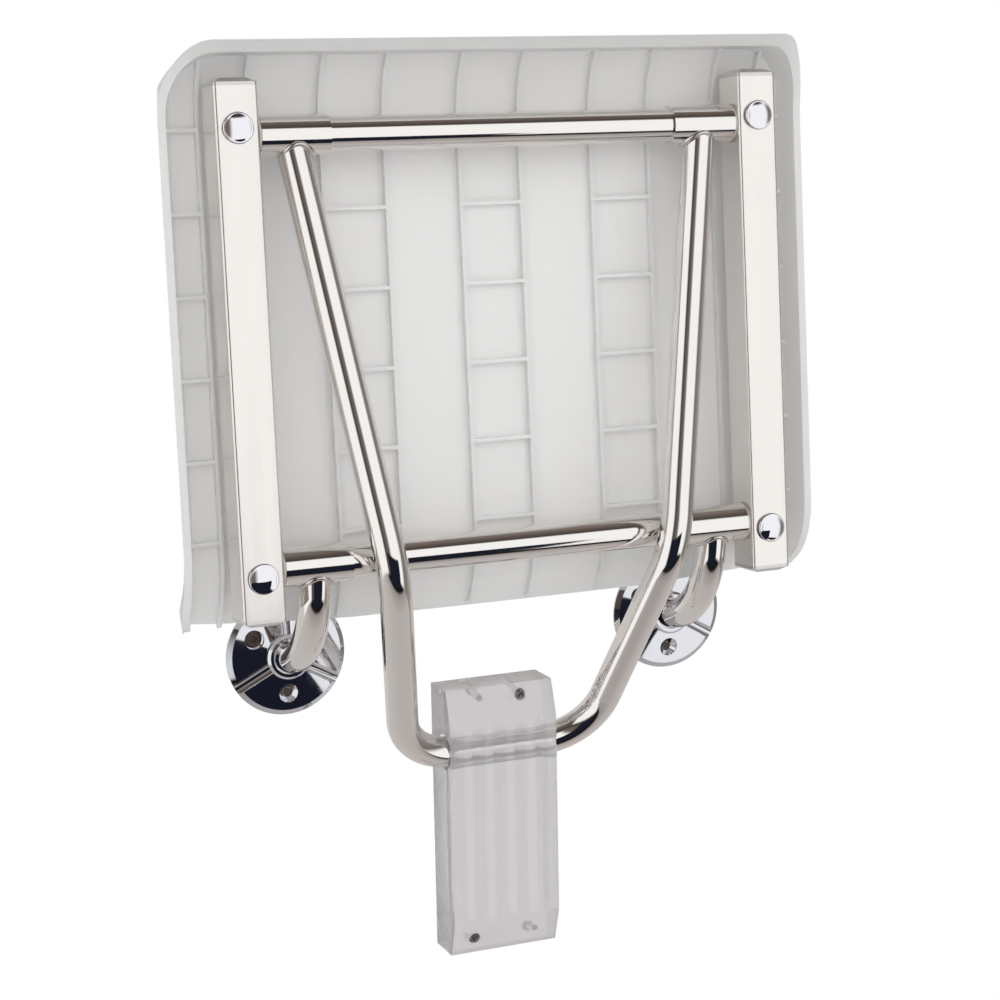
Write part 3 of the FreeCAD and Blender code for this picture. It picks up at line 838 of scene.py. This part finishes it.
@dataclass
class Studio:
    """Pale floor, soft lamps, white background and the camera."""

    floor_z: float = -0.42
    floor_half: float = 4.0
    camera_place: Point = (-0.52103, -1.28164, 0.32643)
    camera_turn_deg: Point = (79.95953, 1.11786, -22.85609)
    lens_mm: float = 83.22
    sensor_mm: float = 36.0
    camera_reach: float = 50.0
    # Strength of the even light from the room's side and from the wall's side
    front_fill: float = 1.0
    back_fill: float = 0.6
    fill_blend: float = 0.3
    # A mirrored ray that passed one to three clear surfaces sees the room this much weaker
    cleared: float = 0.5
    cleared_passes: float = 2.0
    cleared_reach: float = 1.2
    aim: Point = (0.0, -0.06, 0.1)
    key_place: Point = (-0.7, -2.2, 1.0)
    key_size: float = 2.0
    key_watts: float = 6.5
    right_place: Point = (1.3, -1.8, 1.2)
    right_size: float = 1.5
    right_watts: float = 4.0
    card_low: Point = (-0.5, -0.8, -0.62)
    card_high: Point = (0.38, -0.8, -0.08)
    card_colour: str = "1B1E2A"
    floor_colour: str = "F6F6F6"

    def camera(self) -> None:
        """Put the camera where the photograph was taken from."""
        data = bpy.data.cameras.new("camera")
        data.lens = self.lens_mm
        data.sensor_width = self.sensor_mm
        data.clip_end = self.camera_reach
        camera = bpy.data.objects.new("camera", data)
        camera.location = self.camera_place
        camera.rotation_euler = Euler([math.radians(a) for a in self.camera_turn_deg], "XYZ")
        bpy.context.scene.collection.objects.link(camera)
        bpy.context.scene.camera = camera

    def turn_share(
        self, tree: bpy.types.NodeTree, side: bpy.types.NodeSocket, ahead: bpy.types.NodeSocket
    ) -> bpy.types.NodeSocket:
        """Turn a direction's angle from straight ahead of the seat into a share of a full turn.

        Args:
            tree: the world's node tree.
            side: the part of the direction that the angle turns towards.
            ahead: the part that points away from the wall.

        Returns:
            A value from 0 to 1, with 0.5 straight ahead.
        """
        angle = add_node(tree, "ShaderNodeMath", {"operation": "ARCTAN2"}, {"0": side, "1": ahead})
        share = add_node(
            tree,
            "ShaderNodeMapRange",
            {"From Min": -math.pi, "From Max": math.pi},
            {"Value": angle.outputs[0]},
        )
        return share.outputs["Result"]

    def mirrored_room(self, tree: bpy.types.NodeTree) -> bpy.types.NodeSocket:
        """The room round the seat as its polished parts mirror it.

        Args:
            tree: the world's node tree.

        Returns:
            The colour that a mirrored ray brings back.
        """
        place = add_node(tree, "ShaderNodeTexCoord")
        parts = add_node(tree, "ShaderNodeSeparateXYZ", None, {"0": place.outputs["Generated"]})
        ahead = add_node(
            tree, "ShaderNodeMath", {"operation": "MULTIPLY", "1": -1.0}, {"0": parts.outputs["Y"]}
        )
        round_about = self.turn_share(tree, parts.outputs["X"], ahead.outputs[0])
        over_and_under = self.turn_share(tree, parts.outputs["Z"], ahead.outputs[0])
        level = add_node(
            tree,
            "ShaderNodeMapRange",
            {"From Min": -1.0, "From Max": 1.0},
            {"Value": parts.outputs["Z"]},
        )
        walls = add_node(
            tree,
            "ShaderNodeValToRGB",
            {"stops": [(0.5 + turn / 360, colour) for turn, colour in ROOM_WALLS]},
            {"Fac": round_about},
        )
        roof = add_node(
            tree,
            "ShaderNodeValToRGB",
            {"stops": [(0.5 + turn / 360, colour) for turn, colour in ROOM_ROOF_AND_FLOOR]},
            {"Fac": over_and_under},
        )
        heights = [
            (0.5 + math.sin(math.radians(turn)) / 2, colour) for turn, colour in ROOM_WALL_BAND
        ]
        band = add_node(
            tree, "ShaderNodeValToRGB", {"stops": heights}, {"Fac": level.outputs["Result"]}
        )
        room = add_node(
            tree,
            "ShaderNodeMix",
            {"data_type": "RGBA"},
            {"0": band.outputs["Color"], "6": roof.outputs["Color"], "7": walls.outputs["Color"]},
        )
        return room.outputs[2]

    def world(self) -> None:
        """White behind the seat, a mirrored room for polished metal, even light for the rest."""
        world = bpy.data.worlds.new("studio")
        bpy.context.scene.world = world
        world.use_nodes = True
        tree = world.node_tree
        tree.nodes.clear()
        path = add_node(tree, "ShaderNodeLightPath")
        seen = add_node(
            tree,
            "ShaderNodeMath",
            {"operation": "MAXIMUM"},
            {"0": path.outputs["Is Camera Ray"], "1": path.outputs["Is Transmission Ray"]},
        )
        place = add_node(tree, "ShaderNodeTexCoord")
        parts = add_node(tree, "ShaderNodeSeparateXYZ", None, {"0": place.outputs["Generated"]})
        around = add_node(
            tree,
            "ShaderNodeMapRange",
            {
                "From Min": -self.fill_blend,
                "From Max": self.fill_blend,
                "To Min": self.front_fill,
                "To Max": self.back_fill,
            },
            {"Value": parts.outputs["Y"]},
        )
        strength = add_node(
            tree,
            "ShaderNodeMapRange",
            {"To Max": 1.0},
            {"Value": seen.outputs[0], "To Min": around.outputs["Result"]},
        )
        light = add_node(
            tree,
            "ShaderNodeBackground",
            {"Color": (1.0, 1.0, 1.0, 1.0)},
            {"Strength": strength.outputs["Result"]},
        )
        room = add_node(tree, "ShaderNodeBackground", None, {"Color": self.mirrored_room(tree)})
        mirrored = add_node(
            tree,
            "ShaderNodeMath",
            {"operation": "GREATER_THAN", "1": 0.5},
            {"0": path.outputs["Glossy Depth"]},
        )
        through = add_node(
            tree,
            "ShaderNodeMath",
            {"operation": "COMPARE", "1": self.cleared_passes, "2": self.cleared_reach},
            {"0": path.outputs["Transmission Depth"]},
        )
        share = add_node(
            tree,
            "ShaderNodeMath",
            {"operation": "MULTIPLY_ADD", "1": -self.cleared},
            {"0": through.outputs[0], "2": mirrored.outputs[0]},
        )
        unlit = add_node(
            tree,
            "ShaderNodeMath",
            {"operation": "SUBTRACT"},
            {"0": share.outputs[0], "1": path.outputs["Is Diffuse Ray"]},
        )
        both = add_node(
            tree,
            "ShaderNodeMixShader",
            None,
            {"0": unlit.outputs[0], "1": light.outputs[0], "2": room.outputs[0]},
        )
        add_node(tree, "ShaderNodeOutputWorld", None, {"Surface": both.outputs[0]})

    def floor(self) -> None:
        """A plain pale floor well below the seat."""
        half = self.floor_half
        mesh = bpy.data.meshes.new("floor")
        corners = [(-half, -half), (half, -half), (half, half), (-half, half)]
        mesh.from_pydata([(x, y, self.floor_z) for x, y in corners], [], [(0, 1, 2, 3)])
        floor = bpy.data.objects.new("floor", mesh)
        bpy.context.scene.collection.objects.link(floor)
        material = bpy.data.materials.new("pale floor")
        material.use_nodes = True
        tree = material.node_tree
        tree.nodes.clear()
        path = add_node(tree, "ShaderNodeLightPath")
        matte = add_node(tree, "ShaderNodeBsdfDiffuse", {"Color": srgb(self.floor_colour)})
        glow = add_node(
            tree, "ShaderNodeEmission", {"Color": (1.0, 1.0, 1.0, 1.0), "Strength": 1.0}
        )
        mix = add_node(
            tree,
            "ShaderNodeMixShader",
            None,
            {"0": path.outputs["Is Camera Ray"], "1": matte.outputs[0], "2": glow.outputs[0]},
        )
        add_node(tree, "ShaderNodeOutputMaterial", None, {"Surface": mix.outputs[0]})
        mesh.materials.append(material)
        floor.visible_glossy = False

    def card(self) -> None:
        """One low dark card that only polished metal mirrors."""
        low, high = self.card_low, self.card_high
        mesh = bpy.data.meshes.new("low dark card")
        corners = [
            (low[0], low[1], low[2]),
            (high[0], low[1], low[2]),
            (high[0], high[1], high[2]),
            (low[0], high[1], high[2]),
        ]
        mesh.from_pydata(corners, [], [(0, 1, 2, 3)])
        card = bpy.data.objects.new("low dark card", mesh)
        bpy.context.scene.collection.objects.link(card)
        card.visible_camera = False
        card.visible_diffuse = False
        card.visible_transmission = False
        card.visible_shadow = False
        material = bpy.data.materials.new("low dark card")
        material.use_nodes = True
        tree = material.node_tree
        tree.nodes.clear()
        glow = add_node(
            tree, "ShaderNodeEmission", {"Color": srgb(self.card_colour), "Strength": 1.0}
        )
        add_node(tree, "ShaderNodeOutputMaterial", None, {"Surface": glow.outputs[0]})
        mesh.materials.append(material)

    def lamp(self, name: str, place: Point, size: float, power: float) -> None:
        """Add one soft square lamp that faces the seat.

        Args:
            name: the lamp's name.
            place: where it stands, in metres.
            size: its side, in metres.
            power: its power, in watts.
        """
        data = bpy.data.lights.new(name, "AREA")
        data.size = size
        data.energy = power
        lamp = bpy.data.objects.new(name, data)
        lamp.location = place
        lamp.visible_glossy = False
        aim = Vector(self.aim) - Vector(place)
        lamp.rotation_euler = aim.to_track_quat("-Z", "Y").to_euler()
        bpy.context.scene.collection.objects.link(lamp)

    def build(self) -> None:
        """Set up the whole studio."""
        self.camera()
        self.world()
        self.floor()
        self.card()
        self.lamp("key lamp", self.key_place, self.key_size, self.key_watts)
        self.lamp("right lamp", self.right_place, self.right_size, self.right_watts)
        bpy.context.scene.view_settings.view_transform = "Standard"
        LOG.info("studio ready")


def main() -> None:
    """Load the frame, dress it and set up the studio."""
    logging.basicConfig(level=logging.INFO)
    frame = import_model()
    dresser = Dresser(frame)
    for assembly in (WallBrackets(), SeatFrame(), SeatPanel(), BraceLeg(), FootBlock()):
        assembly.dress(dresser)
    Studio().build()


if __name__ == "__main__":
    main()
